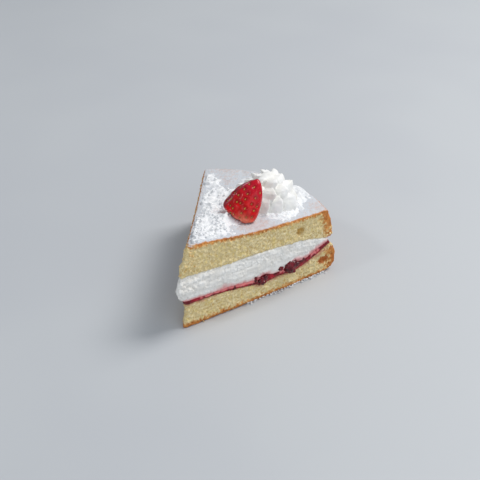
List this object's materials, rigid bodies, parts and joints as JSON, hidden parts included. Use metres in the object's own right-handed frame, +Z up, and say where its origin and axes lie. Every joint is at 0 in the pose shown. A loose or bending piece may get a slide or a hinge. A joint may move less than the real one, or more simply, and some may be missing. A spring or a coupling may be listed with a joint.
{
  "type": "victoria sponge cake slice",
  "caption": "Wedge-shaped slice of Victoria sponge cake: two sponge layers filled with jam and whipped cream, with a piped cream rosette and half a strawberry on top.",
  "frame": {"origin": "on the underside of the bottom sponge, at the bottom centre of the whole slice's box", "axes": "+X from the slice's pointed tip to its baked crust, +Y across from the cut face that the berry's skin side leans towards to the other, +Z up"},
  "size_m": [0.1104, 0.0894, 0.0646],
  "materials": {
    "sponge": "open pale yellow crumb with a thin golden brown crust",
    "jam": "wet dark crimson",
    "cream": "soft white, slightly moist",
    "strawberry": "glossy red skin with small yellow seeds",
    "sugar": "dry white powder in small clumps"
  },
  "bodies": {
    "root": {"bottom_sponge": "sponge", "jam_layer": "jam", "cream_layer": "cream", "top_sponge": "sponge", "cream_rosette": "cream", "strawberry": "strawberry"}
  },
  "joints": []
}
